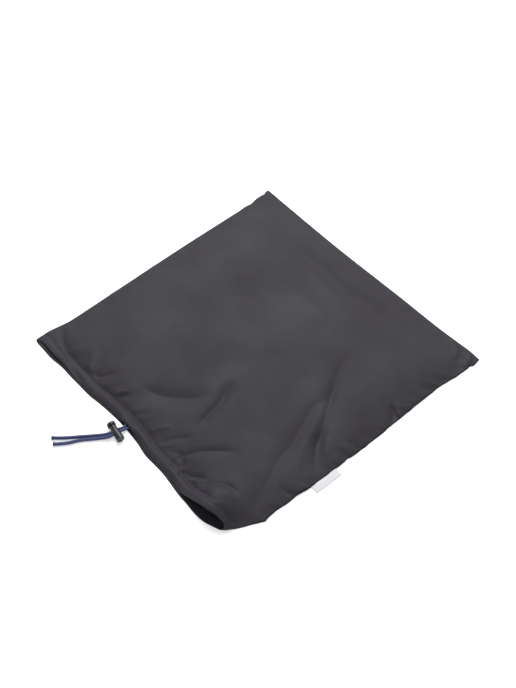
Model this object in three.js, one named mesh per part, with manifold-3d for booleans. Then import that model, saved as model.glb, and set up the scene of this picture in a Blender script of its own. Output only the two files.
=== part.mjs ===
// Drawstring helmet bag of thin nylon, empty and lying on its back.
// Millimetres, +Z up, floor at Z = 0. The mouth is towards -Y, the sewn bottom towards +Y.
import * as THREE from "three";
import { mergeVertices } from "three/addons/utils/BufferGeometryUtils.js";
import Module from "manifold-3d";

const wasm = await Module();
wasm.setup();

// Bag, laid flat
const BAG_WIDTH = 455;
const BAG_DEPTH = 470;
const CLOTH = 1.2;
const GAP = 0.3;
const WELD = 1e-4;
const FINEST = 0.02;
const EDGE_FADE = 4;

// Front panel: the air under it, and how quickly it rises from a seam and from the mouth
const PUFF = 10.5;
const EDGE_ROLL = 32;
const MOUTH_ROLL = 48;
const STITCH_RISE = 2.1;
const COLUMNS = 30;
const ROWS = 29;

// Mouth lip, lifted off the back at the right-hand corner. Shares run along the mouth.
const LIP_HEIGHT = 26;
const LIP_SETBACK = 5;
const LIP_CENTRE = 0.895;
const LIP_HALF = 0.115;
const LIP_REACH = 85;

// Gathers where the cloth runs into the stitch line of the casing
const GATHER_HEIGHT = 1.5;
const GATHER_PITCH = 0.104;
const GATHER_CENTRE = 26;
const GATHER_REACH = 32;

// Casing: a flat tunnel with a rounded run where the cord lies. Shares run from the mouth edge to the
// stitch line, and the cord of the front run lies beside that of the back run.
const CASING_WIDTH = 22;
const CASING_WALL = 1.0;
const CASING_FLAT = 2.4;
const CASING_ROUND = 4.9;
const CASING_SPREAD = 0.16;
const FRONT_CENTRE = 0.36;
const BACK_CENTRE = 0.68;
const CASING_SETBACK = 3;
const CASING_LEFT = 0.03;
const CASING_RIGHT = 0.97;
const TURN_STEPS = 6;
const SKIN_SHARES = [0.14, 0.26, FRONT_CENTRE, 0.52, BACK_CENTRE, 0.78, 0.9];
// Half width of the tunnel, and where its roof bends, as shares off the cord's own line
const TUNNEL_HALF = 0.26;
const TUNNEL_BENDS = [-0.16, -0.08, 0, 0.08, 0.16];

// Cord
const CORD_RADIUS = 2;
const CORD_SIDES = 8;
const CORD_JOIN = 0.6;
const CORD_SPACING = 8;
const CORD_SWING = 3.5;
const TAIL_STEPS = 22;

// Slit in the outer skin of the casing, where both cord ends come out
const SLIT_CENTRE = -11;
const SLIT_LENGTH = 29;
const SLIT_INNER = -216.9;
const SLIT_OUTER = -232;
const SLIT_FLOOR = 4.1;

// Cord lock: the cords cross it at its own origin, and its axis is its own X
const LOCK_PLACE = { x: -12, y: -240.6, z: 6.4 };
const LOCK_TURN = THREE.MathUtils.degToRad(-9.3);
const LOCK_SIDES = 20;
const CORD_PITCH = 2.2;
const BARREL_RADIUS = 5.75;
const BARREL_MOUTH = -7.8;
const BARREL_END = 15.4;
const BARREL_FLOOR = 2.4;
const BORE_RADIUS = 4.3;
const PLUNGER_RADIUS = 4.0;
const PLUNGER_TRAVEL = 3;
const PLUNGER_END = 9.6;
const HEAD_RADIUS = 6.25;
const HEAD_LENGTH = 4.3;
const SLOT_HEIGHT = 4.8;
const LOCK_CHAMFER = 0.8;

// Label, folded into the right-hand side seam
const LABEL_LENGTH = 45;
const LABEL_THICK = 1;
const LABEL_INSIDE = 8;
const LABEL_OUTSIDE = 12;
const LABEL_LEVEL = 2;
const LABEL_TIP = 0.1;
const LABEL_MIDDLE = -70;
const LABEL_LIFT = 1.7;
const LABEL_CLEAR = LABEL_LENGTH / 2 + 8;
const LABEL_FADE = 30;
const LABEL_NARROW = 20;

// How far each edge of the laid bag lies inside its straight line, at a share of the edge's length.
// The mouth and bottom run left to right, the sides run from the mouth to the bottom.
const MOUTH_EDGE = [
  { share: 0.0, inset: 4.5 },
  { share: 0.1, inset: 3 },
  { share: 0.25, inset: 5.2 },
  { share: 0.38, inset: 8.5 },
  { share: 0.48, inset: 9.5 },
  { share: 0.57, inset: 8 },
  { share: 0.68, inset: 4 },
  { share: 0.82, inset: 0 },
  { share: 0.91, inset: -1.2 },
  { share: 1.0, inset: 13 },
];
const LEFT_EDGE = [
  { share: 0.0, inset: 5.5 },
  { share: 0.06, inset: 4.8 },
  { share: 0.13, inset: 9 },
  { share: 0.3, inset: 7 },
  { share: 0.6, inset: 3 },
  { share: 0.85, inset: 1 },
  { share: 1.0, inset: -2.5 },
];
const RIGHT_EDGE = [
  { share: 0.0, inset: 23.5 },
  { share: 0.03, inset: 15 },
  { share: 0.06, inset: 8.8 },
  { share: 0.1, inset: 3.2 },
  { share: 0.16, inset: 2.2 },
  { share: 0.25, inset: 0.5 },
  { share: 0.4, inset: -1.4 },
  { share: 0.58, inset: 0 },
  { share: 0.78, inset: 3 },
  { share: 0.93, inset: 0.7 },
  { share: 1.0, inset: -2 },
];
const BOTTOM_EDGE = [
  { share: 0.0, inset: 5 },
  { share: 0.35, inset: 5 },
  { share: 0.65, inset: 1 },
  { share: 0.9, inset: -2.5 },
  { share: 1.0, inset: -3.5 },
];

// Folds of the front panel in plan: a valley has a negative height, and bow moves its middle to
// the left of the way it runs.
const FOLDS = [
  { name: "bottom valley", x0: -165, y0: 176, x1: 160, y1: 188, bow: -4, width: 15, height: -4.5 },
  { name: "bottom ridge", x0: -165, y0: 202, x1: 165, y1: 212, bow: -3, width: 13, height: 2.5 },
  { name: "long valley", x0: 96, y0: 88, x1: 224, y1: -88, bow: 7, width: 12, height: -5.5 },
  { name: "ridge inside it", x0: 104, y0: 62, x1: 204, y1: -98, bow: 8, width: 11, height: 3.5 },
  { name: "second valley", x0: 76, y0: 34, x1: 212, y1: -178, bow: 18, width: 13, height: -5.5 },
  { name: "ridge at the seam", x0: 138, y0: 92, x1: 220, y1: -34, bow: 4, width: 12, height: 2.2 },
  { name: "crown", x0: 10, y0: -70, x1: 120, y1: -60, bow: 24, width: 34, height: 4 },
  { name: "mouth hollow", x0: -80, y0: -138, x1: 32, y1: -108, bow: -13, width: 17, height: -4 },
  { name: "short streak", x0: 24, y0: -76, x1: 48, y1: -142, bow: 0, width: 10, height: -3 },
  { name: "casing crease", x0: 76, y0: -208, x1: 122, y1: -132, bow: 2, width: 10, height: -3.5 },
  { name: "lip crease", x0: 112, y0: -222, x1: 168, y1: -174, bow: 0, width: 10, height: -4.5 },
  { name: "seam pucker", x0: 232, y0: 62, x1: 190, y1: 86, bow: 0, width: 10, height: -3.5 },
  { name: "corner crease", x0: 192, y0: 246, x1: 226, y1: 196, bow: 0, width: 9, height: -4 },
  { name: "broad hollow", x0: -120, y0: 20, x1: 10, y1: 138, bow: 6, width: 34, height: -3 },
  { name: "broad ridge", x0: -60, y0: -50, x1: 60, y1: 66, bow: 0, width: 28, height: 2.5 },
];

// Routes of the two free cord ends: out of the casing, through the lock and down to the floor
const LEFT_TAIL = [
  [-24.0, -216.6, 7.0],
  [-19.6, -216.8, 7.0],
  [-15.5, -218.5, 7.0],
  [-12.9, -222.2, 6.9],
  [-12.2, -227.0, 6.75],
  [-12.6, -231.2, 6.55],
  [-13.4, -235.6, 6.4],
  [-14.2, -240.25, 6.4],
  [-15.1, -245.7, 6.2],
  [-17.0, -251.6, 5.3],
  [-20.2, -257.4, 4.1],
  [-24.4, -263.0, 3.0],
  [-29.2, -268.5, 2.3],
  [-34.6, -274.6, 2.1],
  [-40.2, -281.2, 2.1],
  [-46.0, -288.8, 2.1],
  [-52.0, -296.8, 2.1],
  [-58.2, -304.6, 2.1],
  [-64.6, -312.0, 2.1],
];
const RIGHT_TAIL = [
  [2.0, -216.6, 7.0],
  [-2.2, -216.9, 7.0],
  [-5.5, -218.9, 7.0],
  [-7.2, -222.6, 6.9],
  [-7.8, -227.3, 6.75],
  [-8.2, -231.6, 6.55],
  [-9.0, -236.1, 6.4],
  [-9.8, -240.95, 6.4],
  [-10.7, -246.4, 6.2],
  [-12.3, -252.8, 5.3],
  [-15.2, -259.3, 4.1],
  [-19.1, -265.6, 3.0],
  [-23.6, -272.0, 2.3],
  [-28.2, -278.8, 2.1],
  [-32.4, -286.2, 2.1],
  [-36.8, -293.9, 2.1],
  [-41.6, -302.0, 2.1],
  [-46.8, -310.6, 2.1],
  [-52.2, -319.0, 2.1],
];

const NYLON = { color: 0x47464b, roughness: 0.6, metalness: 0 };
const CORD = { color: 0x3d4378, roughness: 0.75, metalness: 0 };
const LOCK = { color: 0x262a29, roughness: 0.45, metalness: 0 };
const LABEL = { color: 0xe6e4e8, roughness: 0.8, metalness: 0 };

// Smooth reading of an edge table: a cubic through its rows
function insetAt(table, share) {
  let i = 0;
  while (i < table.length - 2 && share > table[i + 1].share) i += 1;
  const [a, b] = [table[i], table[i + 1]];
  const [before, after] = [table[Math.max(i - 1, 0)], table[Math.min(i + 2, table.length - 1)]];
  const span = b.share - a.share;
  const startSlope = ((b.inset - before.inset) / (b.share - before.share)) * span;
  const endSlope = ((after.inset - a.inset) / (after.share - a.share)) * span;
  const t = (share - a.share) / span;
  const rise = b.inset - a.inset;
  const bend = 3 * rise - 2 * startSlope - endSlope;
  const twist = startSlope + endSlope - 2 * rise;
  return a.inset + t * (startSlope + t * (bend + t * twist));
}

const lerp = THREE.MathUtils.lerp;

// Plan position at share u across the bag and share v from the mouth to the bottom.
// The wander of each edge dies out towards the middle of the bag.
function planPoint(u, v) {
  const left = insetAt(LEFT_EDGE, v) * (1 - u) ** EDGE_FADE;
  const right = insetAt(RIGHT_EDGE, v) * u ** EDGE_FADE;
  const mouth = insetAt(MOUTH_EDGE, u) * (1 - v) ** EDGE_FADE;
  const bottom = insetAt(BOTTOM_EDGE, u) * v ** EDGE_FADE;
  return { x: (u - 0.5) * BAG_WIDTH + left - right, y: (v - 0.5) * BAG_DEPTH + mouth - bottom };
}

// Height that one fold adds at a plan point, fading out at both ends
function foldHeight(fold, x, y) {
  const [alongX, alongY] = [fold.x1 - fold.x0, fold.y1 - fold.y0];
  const long = Math.hypot(alongX, alongY);
  const t = ((x - fold.x0) * alongX + (y - fold.y0) * alongY) / (long * long);
  const aside = ((y - fold.y0) * alongX - (x - fold.x0) * alongY) / long;
  const middle = Math.min(Math.max(t, 0), 1);
  const off = aside - fold.bow * 4 * middle * (1 - middle);
  const past = (Math.max(-t, t - 1, 0) * long) / fold.width;
  return fold.height * Math.exp(-((off / fold.width) ** 2)) * Math.exp(-(past ** 2));
}

// Raised cosine, 1 at the middle and 0 from one half-width away
function bump(t) {
  return Math.abs(t) < 1 ? 0.5 + 0.5 * Math.cos(Math.PI * t) : 0;
}

// How far the lip's lift and setback reach: 1 at its crest, 0 where the mouth lies shut
function lipShare(u, v) {
  return bump((u - LIP_CENTRE) / LIP_HALF) * Math.exp(-(((v * BAG_DEPTH) / LIP_REACH) ** 2));
}

// Underside of the front panel
function frontUnderside(u, v) {
  const { x, y } = planPoint(u, v);
  const rise = (distance) => 1 - Math.exp(-distance / EDGE_ROLL);
  const seams = rise(u * BAG_WIDTH) * rise((1 - u) * BAG_WIDTH) * rise((1 - v) * BAG_DEPTH);
  const fromStitch = v * BAG_DEPTH - CASING_WIDTH;
  const mouth = Math.exp(-fromStitch / MOUTH_ROLL);
  const folds = FOLDS.reduce((sum, fold) => sum + foldHeight(fold, x, y), 0);
  const wave = Math.sin((2 * Math.PI * u) / GATHER_PITCH);
  const gather = GATHER_HEIGHT * wave * bump((fromStitch - GATHER_CENTRE) / GATHER_REACH);
  const air = seams * (PUFF * (1 - mouth) + STITCH_RISE * mouth + folds * (1 - mouth) + gather);
  const pastLabel = Math.max(Math.abs(y - LABEL_MIDDLE) - LABEL_CLEAR, 0);
  const overLabel = LABEL_LIFT * u ** LABEL_NARROW * bump(pastLabel / LABEL_FADE);
  return CLOTH + GAP + Math.max(air, 0) + overLabel + LIP_HEIGHT * lipShare(u, v);
}

// Closed mesh from a list of points and a list of triangles or quads, turned to face out
function closedGeometry(points, faces) {
  const index = faces.flatMap(([a, b, c, d]) => (d === undefined ? [a, b, c] : [a, b, c, a, c, d]));
  let volume = 0;
  const [p, q, r] = [new THREE.Vector3(), new THREE.Vector3(), new THREE.Vector3()];
  for (let i = 0; i < index.length; i += 3) {
    p.fromArray(points[index[i]]);
    q.fromArray(points[index[i + 1]]);
    r.fromArray(points[index[i + 2]]);
    volume += p.dot(q.cross(r));
  }
  if (volume < 0) index.reverse();
  const geometry = new THREE.BufferGeometry();
  geometry.setAttribute("position", new THREE.Float32BufferAttribute(points.flat(), 3));
  geometry.setIndex(index);
  return geometry;
}

// Cloth wall over a grid: two skins and the rim between them
function panelGeometry(columns, rows, underside) {
  const points = [];
  for (const skin of [0, CLOTH]) {
    for (let j = 0; j <= rows; j += 1) {
      for (let i = 0; i <= columns; i += 1) {
        const { x, y, z } = underside(i / columns, j / rows);
        points.push([x, y, z + skin]);
      }
    }
  }
  const at = (i, j, top) => (top * (rows + 1) + j) * (columns + 1) + i;
  const faces = [];
  for (let j = 0; j < rows; j += 1) {
    for (let i = 0; i < columns; i += 1) {
      faces.push([at(i, j + 1, 0), at(i + 1, j + 1, 0), at(i + 1, j, 0), at(i, j, 0)]);
      faces.push([at(i + 1, j, 1), at(i + 1, j + 1, 1), at(i, j + 1, 1), at(i, j, 1)]);
    }
  }
  for (let i = 0; i < columns; i += 1) {
    faces.push([at(i, 0, 0), at(i + 1, 0, 0), at(i + 1, 0, 1), at(i, 0, 1)]);
    faces.push([at(i + 1, rows, 0), at(i, rows, 0), at(i, rows, 1), at(i + 1, rows, 1)]);
  }
  for (let j = 0; j < rows; j += 1) {
    faces.push([at(0, j + 1, 0), at(0, j, 0), at(0, j, 1), at(0, j + 1, 1)]);
    faces.push([at(columns, j, 0), at(columns, j + 1, 0), at(columns, j + 1, 1), at(columns, j, 1)]);
  }
  return closedGeometry(points, faces);
}

// Thickness of a casing run at share w, with its cord at the given share
function casingThickness(w, centre) {
  return CASING_FLAT + CASING_ROUND * Math.exp(-(((w - centre) / CASING_SPREAD) ** 2));
}

const frontness = (turn) => 0.5 + 0.5 * Math.cos(turn);
const cordShare = (turn) => lerp(BACK_CENTRE, FRONT_CENTRE, frontness(turn));

// A point of the casing ring. A station is a share u along the mouth and a turn: 0 on the front run,
// pi on the back run. s is 0 on the face towards the mouth hole and 1 on the outer face. The end folds
// reach out to the side seams.
function casingPoint({ u, turn }, w, s) {
  const fromEdge = lerp(CASING_SETBACK * frontness(turn), CASING_WIDTH, w);
  const v = fromEdge / BAG_DEPTH;
  const { x, y } = planPoint(u, v);
  const reach = planPoint(turn < Math.PI ? 1 : 0, v).x - x;
  const thick = casingThickness(w, cordShare(turn));
  const ridden = lerp(BACK_CENTRE, cordShare(turn), Math.sin(turn) ** 2);
  const lift = casingThickness(fromEdge / CASING_WIDTH, ridden) + GAP + LIP_HEIGHT * lipShare(u, v);
  const low = (1 - s) * thick;
  const z = lerp(low, lift + s * thick, frontness(turn));
  const inner = Math.max(lift - thick, 0) / (lift + thick);
  const drawnBack = LIP_SETBACK * lipShare(u, v) * frontness(turn);
  return [x + reach * Math.abs(Math.sin(turn)) * lerp(inner, 1, s), y + drawnBack, z];
}

// Stations right round the ring: front run, right-hand fold, back run, left-hand fold
function ringStations() {
  const shares = [CASING_LEFT];
  for (let i = 2; i < COLUMNS - 1; i += 1) shares.push(i / COLUMNS);
  shares.push(CASING_RIGHT);
  const turns = [];
  for (let k = 1; k < TURN_STEPS; k += 1) turns.push((k * Math.PI) / TURN_STEPS);
  return [
    ...shares.map((u) => ({ u, turn: 0 })),
    ...turns.map((turn) => ({ u: CASING_RIGHT, turn })),
    ...shares.toReversed().map((u) => ({ u, turn: Math.PI })),
    ...turns.map((turn) => ({ u: CASING_LEFT, turn: Math.PI + turn })),
  ];
}

// Solid between closed sections that follow each other, closed to a ring or capped at both ends
function sweepGeometry(sections, isRing) {
  const points = sections.flat();
  const size = sections[0].length;
  const faces = [];
  const last = isRing ? sections.length : sections.length - 1;
  for (let i = 0; i < last; i += 1) {
    const [here, next] = [i * size, ((i + 1) % sections.length) * size];
    for (let k = 0; k < size; k += 1) {
      const after = (k + 1) % size;
      faces.push([here + k, here + after, next + after, next + k]);
    }
  }
  if (!isRing) {
    const end = (sections.length - 1) * size;
    for (let k = 1; k < size - 1; k += 1) {
      faces.push([0, k + 1, k]);
      faces.push([end, end + k, end + k + 1]);
    }
  }
  return closedGeometry(points, faces);
}

// Outer skin of the casing and its tunnel, cut at one station
function skinSection(station) {
  const pairs = [
    [0, 0.75],
    ...SKIN_SHARES.map((w) => [w, 1]),
    [1, 0.75],
    [1, 0.25],
    ...SKIN_SHARES.toReversed().map((w) => [w, 0]),
    [0, 0.25],
  ];
  return pairs.map(([w, s]) => casingPoint(station, w, s));
}

function tunnelSection(station) {
  const centre = cordShare(station.turn);
  const wall = (w) => CASING_WALL / casingThickness(w, centre);
  const bends = TUNNEL_BENDS.map((bend) => centre + bend);
  const pairs = [
    [centre - TUNNEL_HALF, 0.5],
    ...bends.map((w) => [w, 1 - wall(w)]),
    [centre + TUNNEL_HALF, 0.5],
    ...bends.toReversed().map((w) => [w, wall(w)]),
  ];
  return pairs.map(([w, s]) => casingPoint(station, w, s));
}

// Line of the cord in the casing. In the end folds it swings out towards the side seam.
function cordPoint({ u, turn }) {
  const front = casingPoint({ u, turn: 0 }, FRONT_CENTRE, 0.5);
  const back = casingPoint({ u, turn: Math.PI }, BACK_CENTRE, 0.5);
  const [x, y, z] = front.map((value, k) => lerp(back[k], value, frontness(turn)));
  return [x + CORD_SWING * Math.sin(turn), y, z];
}

// Sections of the cord in the casing: along the tunnel's own sections on the runs, upright in the folds
function cordSections(radius) {
  return loopStations().map((station) => {
    const centre = cordShare(station.turn);
    const width = CASING_WIDTH - CASING_SETBACK * frontness(station.turn);
    const thick = casingThickness(centre, centre);
    const [along, across] = [Math.sin(station.turn), Math.cos(station.turn)];
    const isRun = Math.abs(across) === 1;
    const [x, y, z] = cordPoint(station);
    return Array.from({ length: CORD_SIDES }, (_, k) => {
      const angle = (2 * Math.PI * k) / CORD_SIDES;
      const [aside, up] = [radius * Math.cos(angle), radius * Math.sin(angle)];
      return isRun
        ? casingPoint(station, centre + (across * aside) / width, 0.5 + (across * up) / thick)
        : [x - aside * along, y + aside * across, z + up];
    });
  });
}

// Round tube along a smooth curve through the given points
function tubeGeometry(route, radius, steps) {
  const section = new THREE.Shape();
  for (let k = 0; k < CORD_SIDES; k += 1) {
    const angle = (2 * Math.PI * k) / CORD_SIDES;
    const [x, y] = [radius * Math.cos(angle), radius * Math.sin(angle)];
    if (k === 0) section.moveTo(x, y);
    else section.lineTo(x, y);
  }
  const path = new THREE.CatmullRomCurve3(route.map((point) => new THREE.Vector3(...point)));
  return new THREE.ExtrudeGeometry(section, { steps, extrudePath: path });
}

// Closed geometry to a solid for cutting, and back
function solidOf(geometry) {
  const bare = geometry.clone();
  bare.deleteAttribute("normal");
  bare.deleteAttribute("uv");
  const merged = mergeVertices(bare, WELD);
  const vertProperties = new Float32Array(merged.attributes.position.array);
  const triVerts = new Uint32Array(merged.index.array);
  return new wasm.Manifold(new wasm.Mesh({ numProp: 3, vertProperties, triVerts }));
}

function geometryOf(solid) {
  const { vertProperties, triVerts } = solid.getMesh();
  const geometry = new THREE.BufferGeometry();
  geometry.setAttribute("position", new THREE.BufferAttribute(vertProperties, 3));
  geometry.setIndex(new THREE.BufferAttribute(triVerts, 1));
  return geometry;
}

const bag = new THREE.Group();

function addPiece(group, name, geometry, finish) {
  const mesh = new THREE.Mesh(geometry, new THREE.MeshStandardMaterial(finish));
  mesh.name = name;
  group.add(mesh);
}

// Panels: both start just past the stitch line of the casing
const PANEL_START = (CASING_WIDTH + GAP) / BAG_DEPTH;
const panelShare = (share) => lerp(PANEL_START, 1, share);

function frontPoint(u, share) {
  const v = panelShare(share);
  const { x, y } = planPoint(u, v);
  return { x, y: y + LIP_SETBACK * lipShare(u, v), z: frontUnderside(u, v) };
}

function backOutline() {
  const outline = [];
  for (let i = 0; i < COLUMNS; i += 1) outline.push(planPoint(i / COLUMNS, PANEL_START));
  for (let j = 0; j < ROWS; j += 1) outline.push(planPoint(1, panelShare(j / ROWS)));
  for (let i = COLUMNS; i > 0; i -= 1) outline.push(planPoint(i / COLUMNS, 1));
  for (let j = ROWS; j > 0; j -= 1) outline.push(planPoint(0, panelShare(j / ROWS)));
  return new THREE.Shape(outline.map(({ x, y }) => new THREE.Vector2(x, y)));
}

addPiece(bag, "front_panel", panelGeometry(COLUMNS, ROWS, frontPoint), NYLON);
const backCloth = { depth: CLOTH, bevelEnabled: false };
addPiece(bag, "back_panel", new THREE.ExtrudeGeometry(backOutline(), backCloth), NYLON);

// Cord inside the tunnel, from the start of the right tail round to the start of the left one
function loopStations() {
  const depth = lerp(CASING_SETBACK, CASING_WIDTH, FRONT_CENTRE) / BAG_DEPTH;
  const straight = (x) => x / BAG_WIDTH + 0.5;
  const shareAt = (x) => straight(2 * x - planPoint(straight(x), depth).x);
  const start = { u: shareAt(RIGHT_TAIL[0][0] + CORD_JOIN), turn: 0 };
  const end = { u: shareAt(LEFT_TAIL[0][0] - CORD_JOIN), turn: 0 };
  const clear = CORD_SPACING / BAG_WIDTH;
  const ring = ringStations();
  const rightFront = ring.filter(({ u, turn }) => turn === 0 && u > start.u + clear);
  const leftFront = ring.filter(({ u, turn }) => turn === 0 && u < end.u - clear);
  return [start, ...rightFront, ...ring.filter(({ turn }) => turn > 0), ...leftFront, end];
}

// Casing ring with its tunnel, open only where the two cord ends come out
function casingGeometry() {
  const stations = ringStations();
  let casing = solidOf(sweepGeometry(stations.map(skinSection), true));
  for (const run of [0, Math.PI]) {
    const tunnel = stations.filter(({ turn }) => turn === run).map(tunnelSection);
    casing = casing.subtract(solidOf(sweepGeometry(tunnel, false)));
  }
  const loop = loopStations();
  const room = cordSections(CORD_RADIUS + GAP);
  const turning = loop.map(({ turn }, i) => i > 0 && turn !== loop[i - 1].turn);
  const bends = [];
  for (let i = 1; i < loop.length; i += 1) {
    const isNearFold = turning.slice(i - 1, i + 2).includes(true);
    if (isNearFold) bends.push(wasm.Manifold.hull([...room[i - 1], ...room[i]]));
  }
  casing = casing.subtract(wasm.Manifold.union(bends));
  const slit = new THREE.BoxGeometry(SLIT_LENGTH, SLIT_INNER - SLIT_OUTER, 2 * SLIT_FLOOR);
  slit.translate(SLIT_CENTRE, (SLIT_INNER + SLIT_OUTER) / 2, 2 * SLIT_FLOOR);
  casing = casing.subtract(solidOf(slit));
  return geometryOf(casing.simplify(FINEST));
}

addPiece(bag, "mouth_casing", casingGeometry(), NYLON);
addPiece(bag, "drawcord_loop", sweepGeometry(cordSections(CORD_RADIUS), false), CORD);
addPiece(bag, "cord_tail_left", tubeGeometry(LEFT_TAIL, CORD_RADIUS, TAIL_STEPS), CORD);
addPiece(bag, "cord_tail_right", tubeGeometry(RIGHT_TAIL, CORD_RADIUS, TAIL_STEPS), CORD);

// Cord lock, lying on the floor across the two cords
function turnedAboutX(profile) {
  const points = profile.map(([along, radius]) => new THREE.Vector2(radius, along));
  return new THREE.LatheGeometry(points, LOCK_SIDES).rotateZ(-Math.PI / 2);
}

function crossSlot(from, to) {
  const outline = new THREE.Shape();
  const half = SLOT_HEIGHT / 2;
  outline.moveTo(from, -half);
  outline.lineTo(to, -half);
  outline.lineTo(to, half);
  outline.lineTo(from, half);
  const through = 4 * BARREL_RADIUS;
  const slot = new THREE.ExtrudeGeometry(outline, { depth: through, bevelEnabled: false });
  return slot.translate(0, 0, -through / 2).rotateX(Math.PI / 2);
}

const cordsEdge = CORD_PITCH + CORD_RADIUS + GAP;
const headBase = BARREL_MOUTH - PLUNGER_TRAVEL;
const headEnd = headBase - HEAD_LENGTH;

const barrelProfile = [
  [BARREL_END - BARREL_FLOOR, 0],
  [BARREL_END - BARREL_FLOOR, BORE_RADIUS],
  [BARREL_MOUTH, BORE_RADIUS],
  [BARREL_MOUTH, BARREL_RADIUS - LOCK_CHAMFER],
  [BARREL_MOUTH + LOCK_CHAMFER, BARREL_RADIUS],
  [BARREL_END - 2 * LOCK_CHAMFER, BARREL_RADIUS],
  [BARREL_END, BARREL_RADIUS - 2 * LOCK_CHAMFER],
  [BARREL_END, 0],
];
const plungerProfile = [
  [headEnd, 0],
  [headEnd, HEAD_RADIUS - LOCK_CHAMFER],
  [headEnd + LOCK_CHAMFER, HEAD_RADIUS],
  [headBase - LOCK_CHAMFER, HEAD_RADIUS],
  [headBase, HEAD_RADIUS - LOCK_CHAMFER],
  [headBase, PLUNGER_RADIUS],
  [PLUNGER_END, PLUNGER_RADIUS],
  [PLUNGER_END, 0],
];
const barrel = solidOf(turnedAboutX(barrelProfile));
const plunger = solidOf(turnedAboutX(plungerProfile));
const barrelSlot = solidOf(crossSlot(-cordsEdge, cordsEdge + LOCK_CHAMFER));
const plungerSlot = solidOf(crossSlot(-cordsEdge - PLUNGER_TRAVEL, cordsEdge));

const lock = new THREE.Group();
lock.position.set(LOCK_PLACE.x, LOCK_PLACE.y, LOCK_PLACE.z);
lock.rotation.z = LOCK_TURN;
addPiece(lock, "lock_barrel", geometryOf(barrel.subtract(barrelSlot)), LOCK);
addPiece(lock, "lock_plunger", geometryOf(plunger.subtract(plungerSlot)), LOCK);
bag.add(lock);

// Label: held flat in the seam, then drooping to the floor outside it
function labelGeometry() {
  const seam = planPoint(1, (LABEL_MIDDLE + BAG_DEPTH / 2) / BAG_DEPTH).x;
  const held = CLOTH + GAP;
  const under = [
    [seam - LABEL_INSIDE, held],
    [seam + LABEL_LEVEL, held],
    [seam + LABEL_OUTSIDE / 2, held / 2],
    [seam + LABEL_OUTSIDE, LABEL_TIP],
  ];
  const outline = [...under, ...under.toReversed().map(([x, z]) => [x, z + LABEL_THICK])];
  const shape = new THREE.Shape(outline.map(([x, z]) => new THREE.Vector2(x, z)));
  const strip = new THREE.ExtrudeGeometry(shape, { depth: LABEL_LENGTH, bevelEnabled: false });
  return strip.rotateX(Math.PI / 2).translate(0, LABEL_MIDDLE + LABEL_LENGTH / 2, 0);
}

addPiece(bag, "seam_label", labelGeometry(), LABEL);

export default bag;
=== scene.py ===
import math

import bmesh
import bpy
import numpy as np
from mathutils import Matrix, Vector


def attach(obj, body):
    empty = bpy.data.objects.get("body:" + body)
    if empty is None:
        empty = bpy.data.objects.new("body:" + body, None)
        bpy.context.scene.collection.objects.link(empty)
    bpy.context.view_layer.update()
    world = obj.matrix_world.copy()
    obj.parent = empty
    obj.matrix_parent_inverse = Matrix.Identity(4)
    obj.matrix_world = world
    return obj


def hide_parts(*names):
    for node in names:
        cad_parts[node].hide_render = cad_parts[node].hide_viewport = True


# Flat drawstring bag of thin coated nylon, lying empty on its back.
# Metres: the mouth is towards -Y, the sewn bottom towards +Y, the floor at Z = 0.
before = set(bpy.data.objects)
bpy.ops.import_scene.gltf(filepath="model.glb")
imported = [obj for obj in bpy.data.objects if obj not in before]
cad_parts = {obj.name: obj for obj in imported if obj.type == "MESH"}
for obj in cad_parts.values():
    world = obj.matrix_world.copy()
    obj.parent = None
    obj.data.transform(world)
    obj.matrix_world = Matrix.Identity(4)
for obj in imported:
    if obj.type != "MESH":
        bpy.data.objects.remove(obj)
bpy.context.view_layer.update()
scene = bpy.context.scene
mm = 0.001
weldDistance = 0.01 * mm


# Small tools

def startPiece(piece=None):
    # leaves this piece alone selected, or nothing
    if bpy.context.object and bpy.context.object.mode != "OBJECT":
        bpy.ops.object.mode_set(mode="OBJECT")
    bpy.ops.object.select_all(action="DESELECT")
    if piece:
        bpy.context.view_layer.objects.active = piece
        piece.select_set(True)


def newPiece(name):
    # names what was just added
    piece = bpy.context.object
    piece.name = piece.data.name = name
    return piece


def addModifier(piece, kind, **settings):
    startPiece(piece)
    modifier = piece.modifiers.new(kind.title(), kind)
    for name, value in settings.items():
        setattr(modifier, name, value)
    bpy.ops.object.modifier_apply(modifier=modifier.name)


def editMesh(piece, *steps):
    startPiece(piece)
    bpy.ops.object.mode_set(mode="EDIT")
    bpy.ops.mesh.select_all(action="SELECT")
    for step in steps:
        step()
    bpy.ops.object.mode_set(mode="OBJECT")


def shadeSmooth(piece, angle=None):
    startPiece(piece)
    if angle is None:
        bpy.ops.object.shade_smooth()
    else:
        bpy.ops.object.shade_smooth_by_angle(angle=math.radians(angle))


def layGrid(name, columns, rows, place, uvSize):
    # a grid whose points go where place(u, v) says, with a UV map in metres
    startPiece()
    bpy.ops.mesh.primitive_grid_add(x_subdivisions=columns, y_subdivisions=rows, size=1)
    piece = newPiece(name)
    mesh = piece.data
    flat = np.empty(len(mesh.vertices) * 3)
    mesh.vertices.foreach_get("co", flat)
    u, v = flat.reshape(-1, 3)[:, :2].T + 0.5
    points = np.stack(place(u, v), axis=1)
    mesh.vertices.foreach_set("co", points.ravel())
    uv = np.empty(len(mesh.loops) * 2)
    mesh.uv_layers.active.data.foreach_get("uv", uv)
    uv = uv.reshape(-1, 2) * uvSize
    mesh.uv_layers.active.data.foreach_set("uv", uv.ravel())
    mesh.update()
    return piece, u, v


def closeSeams(piece):
    editMesh(
        piece,
        lambda: bpy.ops.mesh.remove_doubles(threshold=weldDistance),
        lambda: bpy.ops.mesh.normals_make_consistent(inside=False),
    )


def addAttribute(piece, name, values):
    attribute = piece.data.attributes.new(name, "FLOAT", "POINT")
    attribute.data.foreach_set("value", values.astype(np.float32))


def smoothStep(low, high, value):
    t = np.clip((value - low) / (high - low), 0, 1)
    return t * t * (3 - 2 * t)


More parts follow.
